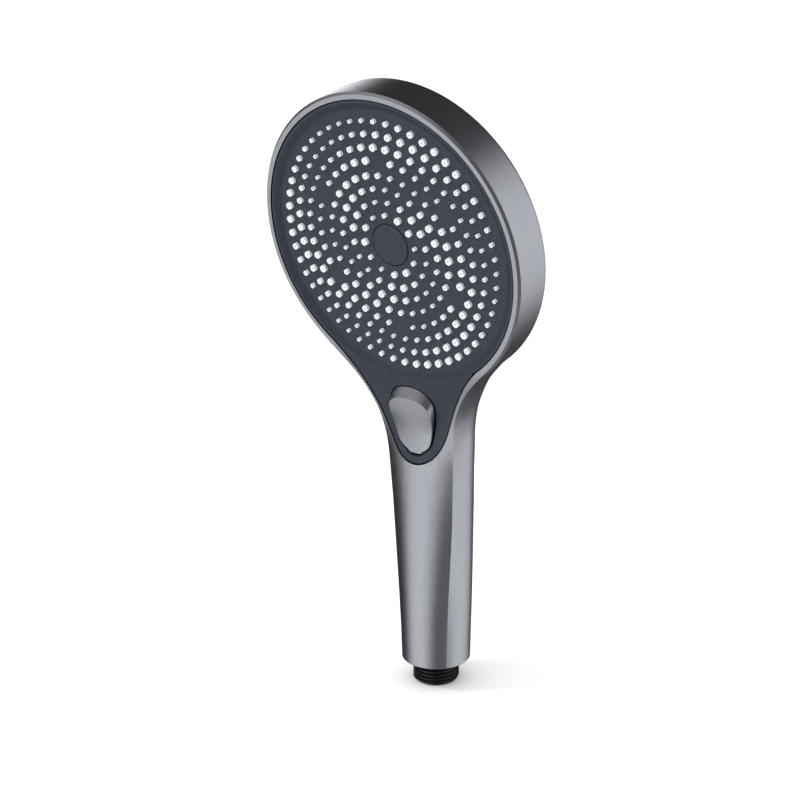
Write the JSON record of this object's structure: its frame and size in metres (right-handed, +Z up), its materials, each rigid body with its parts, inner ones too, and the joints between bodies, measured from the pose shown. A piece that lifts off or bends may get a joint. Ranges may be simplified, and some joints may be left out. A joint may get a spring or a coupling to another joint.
{
  "type": "handheld shower head",
  "caption": "Handheld shower head with a wide round face of silicone nozzles, a thumb button that steps the spray, and a threaded hose inlet.",
  "frame": {"origin": "centre of the hose end of the threaded inlet", "axes": "+Z up the handle, -Y the front where the water leaves, +X to the right seen from the front"},
  "size_m": [0.133, 0.0615, 0.2774],
  "materials": {
    "shell": "satin metallic gun-grey coating",
    "panel": "satin, fine speckle",
    "cap": "satin",
    "nozzles": "matte white silicone",
    "plate": "moulded",
    "cover": "moulded",
    "button": "satin metallic gun-grey coating",
    "steel": "plain",
    "valve": "moulded acetal",
    "rotor": "moulded acetal",
    "seal": "black nitrile",
    "tube": "moulded",
    "inlet": "near-black, satin",
    "restrictor": "moulded",
    "screen": "moulded"
  },
  "bodies": {
    "housing": {"rear_shell": "shell", "face_panel": "panel", "centre_cap": "cap", "nozzle_mat": "nozzles", "spray_plate": "plate", "chamber_cover": "cover", "chamber_seal": "seal", "stack_screws": "steel", "centre_screw": "steel", "button_pin": "steel", "valve_body": "valve", "valve_cap": "valve", "stem_seal": "seal", "return_spring": "steel", "outlet_seal": "seal", "waterway_tube": "tube", "tube_seals": "seal", "inlet_connector": "inlet", "connector_seal": "seal", "retaining_ring": "steel", "flow_restrictor": "restrictor", "filter_screen": "screen"},
    "button": {"mode_button": "button"},
    "stem": {"valve_stem": "valve"},
    "rotor": {"valve_rotor": "rotor"}
  },
  "joints": [
    {"name": "button_press", "type": "hinge", "parent": "housing", "child": "button", "pos_m": [0, -0.00901, 0.11894], "axis": [-1, 0, 0], "range_deg": [0, 6], "stiffness_Nm_per_rad": 0.3, "springref_deg": -8.59},
    {"name": "stem_slide", "type": "slide", "parent": "housing", "child": "stem", "axis": [0, 0.9816, 0.1908], "range_m": [0, 0.0019], "deforming": ["return_spring"]},
    {"name": "rotor_turn", "type": "hinge", "parent": "housing", "child": "rotor", "pos_m": [0, 0.00019, 0.13764], "axis": [0, -0.9816, -0.1908], "range_deg": [0, 60]}
  ],
  "couplings": [
    {"joint": "stem_slide", "follows": "button_press", "m_per_rad": 0.0175},
    {"joint": "rotor_turn", "follows": "button_press", "ratio": 10}
  ]
}
